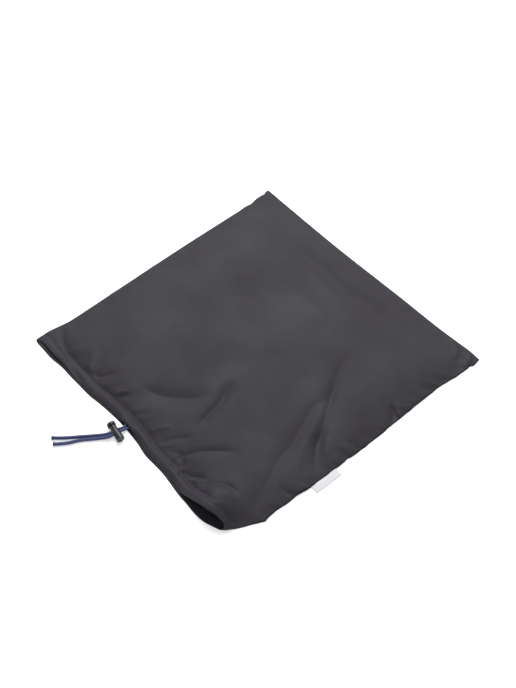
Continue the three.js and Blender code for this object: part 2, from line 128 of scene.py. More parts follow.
def bump(t):
    # raised cosine, 1 at the middle and 0 from one half-width away
    return np.where(np.abs(t) < 1, 0.5 + 0.5 * np.cos(np.pi * t), 0)


def roundOff(t):
    # quarter of a circle from 0 to 1
    return np.sqrt(1 - (1 - np.clip(t, 0, 1)) ** 2)


rippleForm = {"heights": 512, "start": 200}  # heights drawn for each run, and how many lie before its zero


def ripple(position, size, pitch, seed):
    # uneven smooth waves of this size, about one hump or dip to each pitch
    heights = np.random.default_rng(seed).uniform(-1, 1, rippleForm["heights"])
    at = position / pitch + rippleForm["start"]
    first = np.floor(at).astype(int)
    t = at - first
    return size * (heights[first] + (heights[first + 1] - heights[first]) * t * t * (3 - 2 * t))


def ripples(rows, position, aside):
    # rows of lean, size, pitch and seed: each run leans over by its lean times the distance aside
    return sum(ripple(position + lean * aside, size, pitch, seed) for lean, size, pitch, seed in rows)


# Camera

shot = {
    "azimuth": math.radians(49.28),
    "elevation": math.radians(52.32),
    "distance": 1.88971,
    "target": Vector((-0.00336, 0.01326, 0)),
    "lens": 67.18,  # mm: 30 degrees over the long side of the picture
    "sensor": 36,
}


def buildCamera():
    flat = math.cos(shot["elevation"])
    back = Vector((
        math.sin(shot["azimuth"]) * flat,
        -math.cos(shot["azimuth"]) * flat,
        math.sin(shot["elevation"]),
    ))
    startPiece()
    bpy.ops.object.camera_add(
        location=shot["target"] + shot["distance"] * back,
        rotation=(-back).to_track_quat("-Z", "Y").to_euler(),
    )
    scene.camera = bpy.context.object
    scene.camera.data.lens = shot["lens"]
    scene.camera.data.sensor_width = shot["sensor"]


buildCamera()
print("camera set")


# Materials

def linearOf(hexColour):
    # from screen values to the linear ones that Blender's sockets take
    parts = [int(hexColour[i:i + 2], 16) / 255 for i in (1, 3, 5)]
    return (*[p / 12.92 if p <= 0.04045 else ((p + 0.055) / 1.055) ** 2.4 for p in parts], 1)


def fill(tree, node, sockets):
    # each socket takes a value, or the other socket that feeds it
    for name, value in sockets.items():
        socket = node.inputs[name]
        if isinstance(value, bpy.types.NodeSocket):
            tree.links.new(value, socket)
        else:
            socket.default_value = value


def addNode(tree, kind, sockets=None, **settings):
    node = tree.nodes.new("ShaderNode" + kind)
    for name, value in settings.items():
        setattr(node, name, value)
    fill(tree, node, sockets or {})
    return node


def newMaterial(name):
    material = bpy.data.materials.new(name)
    material.use_nodes = True
    tree = material.node_tree
    shader = tree.nodes["Principled BSDF"]
    return material, tree, shader


def wavesPer(size):
    # Scale of a Wave Texture whose stripes repeat after this many metres: it turns 20 radians for each unit
    return 2 * math.pi / (20 * size)


def tint(tree, factor, low, high):
    # colour that runs from one hex colour to the other
    ends = {"Factor": factor, "A": linearOf(low), "B": linearOf(high)}
    return addNode(tree, "Mix", ends, data_type="RGBA").outputs["Result"]


def noise(tree, place, size, **sockets):
    return addNode(tree, "TexNoise", {"Vector": place, "Scale": 1 / size, **sockets})


def relief(tree, height, strength, distance):
    ridges = {"Height": height, "Strength": strength, "Distance": distance}
    return addNode(tree, "Bump", ridges).outputs["Normal"]


nylonFinish = {
    "dark": "#2a272f",
    "light": "#332f39",
    "thread": 0.8 * mm,  # real threads are about 0.3 mm apart: drawn coarser, so that they show
    "threadShade": "#b9b9bd",
    "threadLight": "#ffffff",
    "cloud": 90 * mm,
}


def coatedNylonTaffeta():
    # Filament nylon in a plain weave, coated inside: a dull satin that lights up along its folds
    material, tree, shader = newMaterial("coatedNylonTaffeta")
    place = addNode(tree, "TexCoord").outputs["UV"]
    scale = wavesPer(nylonFinish["thread"])
    warp = addNode(tree, "TexWave", {"Vector": place, "Scale": scale}, bands_direction="X")
    weft = addNode(tree, "TexWave", {"Vector": place, "Scale": scale}, bands_direction="Y")
    over = addNode(tree, "TexChecker", {"Vector": place, "Scale": 1 / nylonFinish["thread"]})
    weave = addNode(tree, "Mix", {
        "Factor": over.outputs["Fac"], "A": warp.outputs["Fac"], "B": weft.outputs["Fac"]})
    cloud = noise(tree, place, nylonFinish["cloud"], Detail=4, Roughness=0.55)
    tone = tint(tree, cloud.outputs["Fac"], nylonFinish["dark"], nylonFinish["light"])
    threads = tint(tree, weave.outputs["Result"], nylonFinish["threadShade"], nylonFinish["threadLight"])
    colour = addNode(
        tree, "Mix", {"Factor": 1, "A": tone, "B": threads}, data_type="RGBA", blend_type="MULTIPLY")
    gloss = addNode(tree, "MapRange", {
        "Value": cloud.outputs["Fac"], "From Min": 0.3, "From Max": 0.7, "To Min": 0.62, "To Max": 0.74})
    fill(tree, shader, {
        "Base Color": colour.outputs["Result"], "Roughness": gloss.outputs["Result"],
        "Normal": relief(tree, weave.outputs["Result"], strength=0.35, distance=0.08 * mm),
        "IOR": 1.53,
        "Specular IOR Level": 0.3, "Sheen Weight": 0.03, "Sheen Roughness": 0.4,
    })
    return material


# groove is painted shade: the braid's colour where shade falls low between the strands; face is the cord's
# own blue, sealed its melted tips
cordFinish = {"groove": "#131735", "face": "#2f3d73", "sealed": "#1b1d38", "fibre": 0.35 * mm}


def braidedPolyesterCord():
    # Polyester yarns braided round a core: royal blue, soft, with painted shade in the grooves between
    # strands, melted hard at the tips
    material, tree, shader = newMaterial("braidedPolyesterCord")
    place = addNode(tree, "TexCoord").outputs["UV"]
    ridge = addNode(tree, "Attribute", attribute_name="braidHeight")
    tip = addNode(tree, "Attribute", attribute_name="sealedTip")
    fibre = noise(tree, place, cordFinish["fibre"], Detail=3)
    # painted shade: the colour darkens where the braid lies low between strands
    yarnAndGrooveShade = tint(tree, ridge.outputs["Fac"], cordFinish["groove"], cordFinish["face"])
    fleck = addNode(tree, "Mix", {"Factor": 0.35, "A": yarnAndGrooveShade, "B": fibre.outputs["Color"]},
                    data_type="RGBA", blend_type="SOFT_LIGHT")
    colour = addNode(tree, "Mix", {
        "Factor": tip.outputs["Fac"], "A": fleck.outputs["Result"], "B": linearOf(cordFinish["sealed"]),
    }, data_type="RGBA")
    gloss = addNode(tree, "MapRange", {"Value": tip.outputs["Fac"], "To Min": 0.62, "To Max": 0.35})
    fill(tree, shader, {
        "Base Color": colour.outputs["Result"], "Roughness": gloss.outputs["Result"],
        "Normal": relief(tree, fibre.outputs["Fac"], strength=0.3, distance=0.08 * mm),
        "IOR": 1.57,
        "Sheen Weight": 0.25, "Sheen Roughness": 0.5,
    })
    return material


lockFinish = {"base": "#151918", "worn": "#232928", "grain": 0.45 * mm, "flow": 9 * mm}


def mouldedAcetal():
    # Acetal moulded in a spark-eroded tool: near-black, faintly green, an even fine grain with a soft gloss
    material, tree, shader = newMaterial("mouldedAcetal")
    place = addNode(tree, "TexCoord").outputs["Object"]
    grain = noise(tree, place, lockFinish["grain"], Detail=2)
    flow = noise(tree, place, lockFinish["flow"], Detail=3)
    gloss = addNode(tree, "MapRange", {"Value": grain.outputs["Fac"], "To Min": 0.32, "To Max": 0.5})
    fill(tree, shader, {
        "Base Color": tint(tree, flow.outputs["Fac"], lockFinish["base"], lockFinish["worn"]),
        "Roughness": gloss.outputs["Result"],
        "Normal": relief(tree, grain.outputs["Fac"], strength=0.2, distance=0.05 * mm),
        "IOR": 1.48,
    })
    return material


labelFinish = {"shade": "#d2d0d6", "face": "#f1f0f3", "pick": 0.7 * mm, "cloud": 12 * mm}


def wovenSatinRibbon():
    # Polyester ribbon woven in satin: white, fine ribs across it, a soft sheen
    material, tree, shader = newMaterial("wovenSatinRibbon")
    place = addNode(tree, "TexCoord").outputs["UV"]
    rib = addNode(tree, "TexWave", {
        "Vector": place, "Scale": wavesPer(labelFinish["pick"]), "Distortion": 0.4}, bands_direction="Y")
    cloud = noise(tree, place, labelFinish["cloud"], Detail=2)
    mixed = addNode(tree, "Math", {0: rib.outputs["Fac"], 1: cloud.outputs["Fac"]}, operation="MULTIPLY")
    fill(tree, shader, {
        "Base Color": tint(tree, mixed.outputs["Value"], labelFinish["shade"], labelFinish["face"]),
        "Normal": relief(tree, rib.outputs["Fac"], strength=0.3, distance=0.06 * mm),
        "Roughness": 0.5, "Sheen Weight": 0.2,
    })
    return material


# dark and light follow the twist of the plies: painted shade in the grooves between them, lighter on their
# crowns
threadFinish = {"dark": "#232327", "light": "#4a4a52", "ply": 0.5 * mm}


def bondedNylonThread():
    # Twisted filament thread with a bonded coat: dark, a little glossier than the cloth, with painted shade
    # in the grooves between its plies
    material, tree, shader = newMaterial("bondedNylonThread")
    place = addNode(tree, "TexCoord").outputs["Object"]
    ply = addNode(tree, "TexWave", {
        "Vector": place, "Scale": wavesPer(threadFinish["ply"])}, bands_direction="DIAGONAL")
    fill(tree, shader, {
        # painted shade in the grooves between the plies
        "Base Color": tint(tree, ply.outputs["Fac"], threadFinish["dark"], threadFinish["light"]),
        "Normal": relief(tree, ply.outputs["Fac"], strength=0.3, distance=0.05 * mm),
        "Roughness": 0.38,
    })
    return material


nylon = coatedNylonTaffeta()
braid = braidedPolyesterCord()
acetal = mouldedAcetal()
ribbon = wovenSatinRibbon()
thread = bondedNylonThread()
print("materials made")


def dress(piece, material, body, slot, *nodes):
    piece.data.materials.clear()
    piece.data.materials.append(material)
    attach(piece, body)
    if nodes:
        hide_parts(*nodes)


# Plan of the laid bag, shared by the cloth pieces

bagForm = {
    "width": 455 * mm,
    "depth": 470 * mm,
    "edgeFade": 4,  # power with which an edge's shape dies out inside
    # how far each edge lies inside its straight line: share of the edge, inset in mm
    "mouthEdge": ((0, 1.5), (0.03, 3), (0.1, 2.5), (0.15, 4.5), (0.2, 3.9), (0.24, 5), (0.3, 4.7),
                  (0.35, 8), (0.43, 10.4), (0.5, 9.8), (0.54, 7.4), (0.6, 3.8), (0.66, 4.3), (0.7, 4),
                  (0.79, -0.6), (0.83, -1.2), (0.865, -2.5), (0.905, -2.3), (0.93, -0.4), (1, 9)),
    "leftEdge": ((0, 4.5), (0.06, 4.8), (0.13, 9), (0.3, 7), (0.6, 3), (0.86, 1.6), (0.885, 1),
                 (0.91, 2), (0.94, -0.9), (0.96, -1.3), (0.976, -0.6), (0.988, -2.9), (1, -3)),
    "rightEdge": ((0, 21), (0.03, 15.6), (0.06, 9.8), (0.09, 4.2), (0.107, 0.7), (0.119, -1.9),
                  (0.13, -0.4), (0.165, 1), (0.205, -0.8), (0.243, 0.5), (0.285, -2), (0.4, -2.8),
                  (0.43, -2.5), (0.445, -0.9), (0.46, -2.6), (0.535, -2.9), (0.66, -0.8), (0.8, 1.3),
                  (0.85, 1), (0.9, -1.4), (0.95, -1.9), (0.961, -1.3), (0.968, -3.6), (1, -2.2)),
    "bottomEdge": ((0, 4.6), (0.35, 4.8), (0.65, 1), (0.82, -0.4), (0.9, -2.5), (0.955, -4.2), (1, -3.5)),
    # mouth lip, lifted off the back near its right-hand end
    "lipHeight": 24.5 * mm,
    "lipSetback": 3 * mm,
    "lipLeft": (0.772, 0.9),  # it rises between these shares of the mouth
    "lipRight": (0.95, 1.05),  # and turns down between these, so that its end stands up at the side seam
    "lipShut": 0.045,  # share of the depth from which that seam is shut
    "lipSpread": 1.5,  # further in it turns down more gently, up to this share of the depth
    "lipSpreadEnd": 0.12,
    "lipReach": 70 * mm,
    "sidePucker": (0.5 * mm, 9 * mm, 51),  # size, pitch and seed of the puckers in the right-hand seam
    "sidePuckerFade": 40,
    "labelMiddle": -70 * mm,
}


def edgeInset(rows, share):
    # smooth curve through the rows
    at, inset = np.array(rows, float).T
    slope = np.empty(len(at))
    slope[1:-1] = (inset[2:] - inset[:-2]) / (at[2:] - at[:-2])
    slope[[0, -1]] = (inset[[1, -1]] - inset[[0, -2]]) / (at[[1, -1]] - at[[0, -2]])
    i = np.clip(np.searchsorted(at, share) - 1, 0, len(at) - 2)
    span = at[i + 1] - at[i]
    t = (share - at[i]) / span
    rise = inset[i + 1] - inset[i]
    a, b = slope[i] * span, slope[i + 1] * span
    return (inset[i] + t * (a + t * (3 * rise - 2 * a - b + t * (a + b - 2 * rise)))) * mm


def planPoint(u, v):
    fade = bagForm["edgeFade"]
    left = edgeInset(bagForm["leftEdge"], v) * (1 - u) ** fade
    right = edgeInset(bagForm["rightEdge"], v) * u ** fade
    right = right + ripple(v * bagForm["depth"], *bagForm["sidePucker"]) * u ** bagForm["sidePuckerFade"]
    mouth = edgeInset(bagForm["mouthEdge"], u) * (1 - v) ** fade
    bottom = edgeInset(bagForm["bottomEdge"], u) * v ** fade
    return (u - 0.5) * bagForm["width"] + left - right, (v - 0.5) * bagForm["depth"] + mouth - bottom


def lipShare(u, v):
    # 1 at the crest of the lip, 0 where the mouth lies shut
    low, high = bagForm["lipLeft"]
    straight = np.clip((u - low) / (high - low), 0, 1)
    start, end = bagForm["lipRight"]
    end = end + (1 - end) * np.clip(v / bagForm["lipShut"], 0, 1)
    down = smoothStep(start - bagForm["lipSpread"] * np.clip(v, 0, bagForm["lipSpreadEnd"]), end, u)
    along = 0.5 * (straight + smoothStep(low, high, u)) * (1 - down)
    return along * np.exp(-(v * bagForm["depth"] / bagForm["lipReach"]) ** 2)


# Sizes of the cord lock, which the cords run through

lockForm = {
    "place": Vector((-12 * mm, -240.6 * mm, 6.4 * mm)),
    "turn": math.radians(-9.3),
    "barrelRadius": 6 * mm,
    "neck": 0.85,  # the barrel narrows towards its open end
    "barrelMouth": -7.8 * mm,
    "barrelEnd": 15.4 * mm,
    "boreRadius": 4.3 * mm,
    "boreEnd": 13 * mm,
    "slotHeight": 4.8 * mm,
    "cordsEdge": 4.5 * mm,
    "travel": 3 * mm,
    "clear": 0.3 * mm,
    "stemRadius": 4 * mm,
    "stemEnd": 9.6 * mm,
    "headRadius": 6.25 * mm,
    "headLength": 4.3 * mm,
    "dish": ((1.3 * mm, 0.6 * mm), (1.6 * mm, 0.3 * mm)),  # inset and depth of the thumb's dish, twice
    "endInset": 1.5 * mm,
    "endDome": 0.5 * mm,
    "slotReach": 36 * mm,  # well past both sides
    "slotSlack": 0.8 * mm,
    "slotRound": 0.3,  # share of the slot's height
    "slotSegments": 6,
    "edge": 0.35 * mm,
    "edgeSegments": 3,
    "edgeAngle": math.radians(38),
    "smoothAngle": 42,
    "sides": 48,
    "facing": 0.9,  # a face looks along the lock when its normal's share is over this
    "near": 0.1 * mm,  # close enough to its end or its axis
}


# Cords: the two free ends, and the run inside the casing

cordForm = {
    "radius": 2.55 * mm,
    # share of the radius left: mm from the middle of the lock towards the casing
    "drawn": ((-11, 1), (-5, 0.85), (0, 0.83), (12, 0.76), (18, 0.76), (24, 0.6)),
    "sides": 64,
    "step": 0.5 * mm,
    "exitPoint": 30,  # steps from its start to where it comes out of the casing
    "strands": 8,
    "lay": 14 * mm,  # length of cord in which a strand goes once round
    "depth": 0.3 * mm,  # of the grooves between strands
    "crown": 0.9,
    "strandHeight": 0.5,
    "over": 0.32,  # how far a strand rises over another, and dips under it
    "braidMiddle": 0.75,
    "braidTop": 0.8,
    "flare": 0.2,  # the melted tip is a little thicker
    "flareBack": 1.6 * mm,
    "flareHalf": 3 * mm,
    "sealed": 4 * mm,
    "sealFade": 2.4 * mm,
    "tipRound": 1.1 * mm,
    "lowest": 0.05 * mm,
    # routes, mm, from inside the casing through the lock to the tip
    "leftTail": (
        (-24, -216.6, 3.3), (-19.6, -216.8, 3.3), (-15.5, -218.5, 3.3), (-12.9, -222.2, 3.4),
        (-12.2, -227, 3.8), (-12.6, -231.2, 5), (-13.4, -235.6, 6.2), (-14.2, -240.25, 6.4),
        (-14.9, -244.7, 6.1), (-16.5, -249.5, 5), (-19.2, -254, 3.8), (-22.4, -258.2, 3),
        (-26.5, -263.8, 2.7), (-32.5, -272.1, 2.6), (-38.1, -279.8, 2.6), (-43.8, -287.9, 2.6),
        (-48.1, -294, 2.6), (-52.8, -300.2, 2.6), (-58.8, -307.4, 2.6), (-64.5, -313.8, 2.8),
    ),
    "rightTail": (
        (2, -216.6, 3.3), (-2.2, -216.9, 3.3), (-5.5, -218.9, 3.3), (-7.8, -222.6, 3.4),
        (-8.3, -227.3, 3.8), (-8.6, -231.6, 5), (-9, -236.1, 6.2), (-9.8, -240.95, 6.4),
        (-10.4, -245.8, 6.1), (-12.2, -251.8, 5), (-15, -256.7, 3.8), (-18.3, -260.9, 3),
        (-22.3, -266.8, 2.7), (-28.1, -275.2, 2.6), (-33.5, -283.2, 2.6), (-38.1, -292, 2.6),
        (-41.2, -298.9, 2.6), (-45.2, -305.6, 2.6), (-50.4, -313, 2.6), (-54.8, -318.2, 2.8),
    ),
}


def smoothPath(points, step):
    # smooth curve through the points, in steps of about this length
    p = np.array(points)
    p = np.vstack([2 * p[0] - p[1], p, 2 * p[-1] - p[-2]])
    line = []
    for a, b, c, d in zip(p, p[1:], p[2:], p[3:]):
        count = max(1, round(float(np.linalg.norm(c - b)) / step))
        t = (np.arange(count) / count)[:, None]
        bend = 2 * a - 5 * b + 4 * c - d
        twist = 3 * b - a - 3 * c + d
        line.append(0.5 * (2 * b + (c - a) * t + bend * t ** 2 + twist * t ** 3))
    return np.vstack([*line, p[-2:-1]])


def pathFrames(line):
    # directions aside and up from the line, carried along it without a twist
    ahead = np.gradient(line, axis=0)
    ahead /= np.linalg.norm(ahead, axis=1)[:, None]
    side = np.zeros_like(line)
    side[0] = np.cross(ahead[0], (0, 0, 1))
    for i in range(len(line)):
        carried = side[i - 1] if i else side[0]
        carried = carried - ahead[i] * (carried @ ahead[i])
        side[i] = carried / np.linalg.norm(carried)
    return side, np.cross(side, ahead)


def braidHeight(u, along):
    # two families of strands wind opposite ways, each over one and under one of the other
    turns = cordForm["strands"] * along / cordForm["lay"]
    p, q = cordForm["strands"] * u + turns, cordForm["strands"] * u - turns
    height = []
    for mine, other, side in ((p, q, 1), (q, p, -1)):
        centre = np.round(mine)
        crown = np.sqrt(1 - cordForm["crown"] * (2 * (mine - centre)) ** 2)
        over = side * cordForm["over"] * np.cos(np.pi * (centre + other))
        height.append(cordForm["strandHeight"] * crown + over)
    return np.maximum(*height)


def buildCord(name, route, sides, step, thinned):
    # thinned gives the share of the radius that is left at each point of its line
    line = smoothPath(route, step)
    side, up = pathFrames(line)
    along = np.concatenate([[0], np.cumsum(np.linalg.norm(np.diff(line, axis=0), axis=1))])
    rows = len(line) - 1
    length = along[-1]
    sealed = smoothStep(length - cordForm["sealed"], length - cordForm["sealFade"], along)
    flare = cordForm["flare"] * bump((along - length + cordForm["flareBack"]) / cordForm["flareHalf"])
    fromEnd = np.minimum(along, length - along)
    rounded = roundOff(fromEnd / cordForm["tipRound"])
    radius = cordForm["radius"] * thinned(line) * (1 + flare)
    groove = cordForm["depth"] * (1 - sealed)

    def place(u, v):
        row = np.rint(v * rows).astype(int)
        angle = 2 * np.pi * u
        height = braidHeight(np.rint(u * sides) % sides / sides, along[row])
        reach = (radius[row] - groove[row] * (cordForm["braidMiddle"] - height)) * rounded[row]
        across = side[row] * np.cos(angle)[:, None] + up[row] * np.sin(angle)[:, None]
        x, y, z = (line[row] + across * reach[:, None]).T
        return x, y, np.maximum(z, cordForm["lowest"])

    piece, u, v = layGrid(name, sides, rows, place, (2 * math.pi * cordForm["radius"], length))
    row = np.rint(v * rows).astype(int)
    addAttribute(piece, "braidHeight", np.clip(braidHeight(u, along[row]) / cordForm["braidTop"], 0, 1))
    addAttribute(piece, "sealedTip", sealed[row])
    closeSeams(piece)
    shadeSmooth(piece)
    return piece, line, length


def drawnThin(line):
    place, share = np.array(cordForm["drawn"]).T
    return np.interp((line[:, 1] - lockForm["place"].y) / mm, place, share)


def buildTail(name, route):
    return buildCord(name, np.array(route) * mm, cordForm["sides"], cordForm["step"], drawnThin)


cordLeft, leftLine, leftLength = buildTail("cord_left", cordForm["leftTail"])
cordRight, rightLine, rightLength = buildTail("cord_right", cordForm["rightTail"])
dress(cordLeft, braid, "bag", "cord", "cord_tail_left")
dress(cordRight, braid, "bag", "cord", "cord_tail_right")
print("cord ends laid:", round(leftLength, 4), round(rightLength, 4))


# Casing: one strip of cloth folded into a tunnel right round the mouth

casingForm = {
    "width": 22 * mm,
    "stripWidth": 48.4 * mm,  # both layers and their turnings
    "flat": 0.8 * mm,
    "frontSwell": 1.7 * mm,  # it stands this much higher over the cord
    "backSwell": 1.2 * mm,
    "rise": 0.34,  # shares of its width in which it swells, and runs down to the stitch line
    "fall": 0.45,
    "frontCentre": 0.42,
    "backCentre": 0.62,
    "setback": 3 * mm,
    "gap": 0.2 * mm,
    "lowest": 0.3 * mm,
    "left": 0.03,
    "right": 0.977,
    "endShare": 0.03,  # share of the ring that each end fold takes
    "endLow": 0.3,
    "endRoll": 40 * mm,
    "endReach": 0.7,  # how far the fold's middle goes out to the side seam, and how thick the fold is
    "endThick": 0.6,
    "endFade": 6,
    "cornerSetback": 3 * mm,  # the front layer draws back and stands up at the left-hand corner
    "cornerLift": 3.6 * mm,
    "cornerReach": 0.24,
    "cornerFade": 1.5,
    "thickness": 0.4 * mm,
    "stations": 600,
    "across": 48,
    "stripEnd": 0.96,  # it ends a little short of the stitch line
    "stripSpread": 0.05,
    "edgeRound": 0.12,
    "pinch": 0.6,  # the two layers come together at the stitches
    "pinchFrom": 0.8,
    "joinFade": (0.6, 0.95),  # shares of the width in which the outer layer joins the front cloth
    "crossFade": (0.2, 0.9),
    # waves in the outer layer: lean, size, pitch, seed
    "waves": ((0.5, 0.7 * mm, 26 * mm, 6), (-0.3, 0.4 * mm, 11 * mm, 7)),
    "waveMiddle": 0.45,
    "waveHalf": 0.5,
    "waveFade": (0.2, 0.8),
    "edgeWaves": (0.6 * mm, 23 * mm, 5),
    # tucks at the stitch line: lean, share of the pucker, pitch, seed
    "tucks": ((0.25, 0.7, 8 * mm, 3), (-0.2, 0.5, 4.2 * mm, 4)),
    "pucker": 0.7 * mm,
    "puckerLow": 0.2,
    "puckerHalf": 6.5 * mm,
    # the stitch line lies in a groove: place along the mouth and depth, mm
    "groove": ((-215, 0.2), (-150, 0.1), (-112, 0.4), (-90, 1.1), (-50, 1.2), (-25, 0.8), (10, 0.3),
               (35, 0.5), (60, 1.1), (90, 1), (118, 1.6), (140, 2.2), (175, 2.2), (205, 0.5)),
    "grooveHalf": 4 * mm,
    "grooveWaves": (0.4, 19 * mm, 8),
    "exitMiddle": -10 * mm,
    "exitHalf": 26 * mm,
    "exitRise": 5 * mm,
    "exitFade": (0.1, 0.6),
    "slitHalf": 13 * mm,
    "slitRows": (0.515, 0.74),  # shares across the strip
}
ringLength = 2 * bagForm["width"] * (casingForm["right"] - casingForm["left"])


def ringStation(t):
    # share along the mouth and turn at share t of the ring: front run, right fold, back run, left fold
    run = 0.5 - casingForm["endShare"]
    front = t < 0.5
    local = np.where(front, t, t - 0.5)
    along = np.clip(local / run, 0, 1)
    turn = np.pi * (np.clip((local - run) / casingForm["endShare"], 0, 1) + np.where(front, 0, 1))
    span = casingForm["right"] - casingForm["left"]
    u = np.where(front, casingForm["left"] + span * along, casingForm["right"] - span * along)
    return u, turn


def casingThickness(w, centre, swell):
    reach = np.where(w < centre, casingForm["rise"], casingForm["fall"])
    return casingForm["flat"] + swell * np.exp(-((w - centre) / reach) ** 2)


def stitchPucker(x, distance):
    # small uneven tucks on both sides of the stitch line, which lies in a groove
    deep = np.interp(x, *np.array(casingForm["groove"]).T * mm)
    groove = deep * (1 + ripple(x, *casingForm["grooveWaves"]))
    groove = groove * np.exp(-(distance / casingForm["grooveHalf"]) ** 2)
    size = casingForm["pucker"] * np.clip(deep / mm, casingForm["puckerLow"], 1)
    tuck = ripples(casingForm["tucks"], x, distance)
    return size * tuck * np.exp(-(distance / casingForm["puckerHalf"]) ** 2) - groove


def casingDepth(u, front, w):
    # how far in from the straight mouth edge, the front layer being set back
    corner = 1 - smoothStep(casingForm["left"], casingForm["cornerReach"], u)
    setback = casingForm["setback"] + casingForm["cornerSetback"] * corner
    return setback * front * (1 - w) + casingForm["width"] * w, corner


def casingPoint(u, turn, w, s, reach):
    # w runs from the mouth edge to the stitch line, s from the face towards the hole to the outer face,
    # and reach says how far an end fold goes out to the side seam
    front = 0.5 + 0.5 * np.cos(turn)
    depth, corner = casingDepth(u, front, w)
    v = depth / bagForm["depth"]
    centre = casingForm["backCentre"] + (casingForm["frontCentre"] - casingForm["backCentre"]) * front
    swell = casingForm["backSwell"] + (casingForm["frontSwell"] - casingForm["backSwell"]) * front
    thick = casingThickness(w, centre, swell)
    lift = casingThickness(depth / casingForm["width"], casingForm["backCentre"], casingForm["backSwell"])
    lift = lift + casingForm["gap"]
    inner = np.maximum(lift - thick, 0) / (lift + thick)
    u = u + (np.where(turn < np.pi, 1, 0) - u) * np.abs(np.sin(turn)) * (inner + (1 - inner) * reach)
    x, y = planPoint(u, v)
    lip = lipShare(u, v)
    # the cloth stands over the two cords where they leave
    leaving = bump((x - casingForm["exitMiddle"]) / casingForm["exitHalf"])
    leaving = leaving * (1 - smoothStep(*casingForm["exitFade"], w))
    corner = corner * np.clip(1 - w, 0, 1) ** casingForm["cornerFade"]
    raised = casingForm["exitRise"] * leaving + casingForm["cornerLift"] * corner
    fromSide = np.minimum(u, 1 - u) * bagForm["width"]
    low = casingForm["endLow"]
    squash = low + (1 - low) * smoothStep(0, casingForm["endRoll"], fromSide)
    bottom = (1 - s) * thick * squash
    top = (lift + raised * front + s * thick) * squash + bagForm["lipHeight"] * lip
    return x, y + bagForm["lipSetback"] * lip * front, bottom + (top - bottom) * front


def stripSection(c):
    # share c of the strip: outer face from the stitch line to the mouth edge, then the inner face back
    out = np.abs(1 - 2 * c)
    w = casingForm["stripEnd"] * (out + casingForm["stripSpread"] * np.sin(np.pi * out))
    pinch = 1 - casingForm["pinch"] * smoothStep(casingForm["pinchFrom"], 1, w)
    half = np.where(c < 0.5, 0.5, -0.5) * roundOff(out / casingForm["edgeRound"])
    return w, 0.5 + half * pinch, casingForm["endReach"] + casingForm["endThick"] * half


def casingSurface(t, c):
    # share t of the ring, which closes on itself, and share c across the strip
    u, turn = ringStation(np.where(np.isclose(t, 1), 0, t))
    w, s, reach = stripSection(c)
    x, y, z = casingPoint(u, turn, w, s, reach)
    front = 0.5 + 0.5 * np.cos(turn)
    # the outer layer runs on into the front cloth
    panel = frontHeight(u, casingDepth(u, 1, w)[0] / bagForm["depth"])[2]
    joined = np.where(c < 0.5, smoothStep(*casingForm["joinFade"], w), 0) * front ** casingForm["endFade"]
    folded = foldSum(crossings, x, y) * front * smoothStep(*casingForm["crossFade"], s)
    z = z + (panel - z) * joined + folded * (1 - joined)
    wave = ripples(casingForm["waves"], x, (1 - w) * casingForm["width"])
    wave = wave * bump((w - casingForm["waveMiddle"]) / casingForm["waveHalf"])
    z = z + front * wave * smoothStep(*casingForm["waveFade"], s)
    y = y + ripple(x, *casingForm["edgeWaves"]) * (1 - w) ** 2
    return x, y, np.maximum(z, casingForm["lowest"])


def buildCasing():
    size = (ringLength, casingForm["stripWidth"])
    piece, t, c = layGrid("casing_cloth", casingForm["stations"], casingForm["across"], casingSurface, size)
    low, high = casingForm["slitRows"]
    underRows = (c > low) & (c < high)
    frontRun = (t > 0) & (t < 0.5 - casingForm["endShare"])

    def cutSlit():
        # the under layer is left open where the two cord ends come down and out
        bpy.ops.mesh.select_all(action="DESELECT")
        edit = bmesh.from_edit_mesh(piece.data)
        for face in edit.faces:
            middle = face.calc_center_median()
            inSlit = abs(middle.x - casingForm["exitMiddle"]) < casingForm["slitHalf"]
            face.select = inSlit and all(underRows[v.index] and frontRun[v.index] for v in face.verts)
        bmesh.update_edit_mesh(piece.data)
        bpy.ops.mesh.delete(type="FACE")

    editMesh(piece, cutSlit)
    closeSeams(piece)
    addModifier(piece, "SOLIDIFY", thickness=casingForm["thickness"], offset=0)
    shadeSmooth(piece)
    return piece


loopForm = {
    "stations": 320,
    "sides": 24,
    "step": 1.5 * mm,
    "front": 0.305,  # where it lies across the strip, on the front run and on the back run
    "back": 0.2,
    "low": 0.45,  # share of the way from the inner layer to the outer one
    "reach": 0.35,  # how far it goes out in the end folds
    "wall": 0.45 * mm,  # kept free for the cloth
    "thinnest": 0.1,  # pressed flat in the tunnel: shares of the cord's own radius
    "thickest": 0.4,
    "apart": 4 * mm,
}


def buildLoop():
    # cord in the tunnel, from the start of the right tail round to the start of the left one,
    # between the two layers and no thicker than the room there
    t = np.linspace(0, 1, loopForm["stations"], endpoint=False)
    u, turn = ringStation(t)
    front = 0.5 + 0.5 * np.cos(turn)
    c = loopForm["back"] + (loopForm["front"] - loopForm["back"]) * front
    outer, inner = (np.stack(casingSurface(t, share), axis=1) for share in (c, 1 - c))
    between = inner + loopForm["low"] * (outer - inner)
    w = stripSection(c)[0]
    folded = np.stack(casingPoint(u, turn, w, loopForm["low"], loopForm["reach"]), axis=1)
    ring = folded + (between - folded) * front[:, None] ** casingForm["endFade"]
    room = loopForm["low"] * np.linalg.norm(outer - inner, axis=1) - loopForm["wall"]
    start = cordForm["rightTail"][0][0] * mm + loopForm["apart"]
    end = cordForm["leftTail"][0][0] * mm - loopForm["apart"]
    right = [p for p, a in zip(ring, turn) if a == 0 and p[0] > start]
    left = [p for p, a in zip(ring, turn) if a == 0 and p[0] < end]
    rest = [p for p, a in zip(ring, turn) if a > 0]

    def pressed(line):
        nearest = np.argmin(np.linalg.norm(line[:, None] - ring[None], axis=2), axis=1)
        share = np.clip(room[nearest] / cordForm["radius"], loopForm["thinnest"], loopForm["thickest"])
        return np.where(turn[nearest] % np.pi == 0, share, loopForm["thinnest"])

    return buildCord("cord_in_casing", right + rest + left, loopForm["sides"], loopForm["step"], pressed)


# Front and back cloth

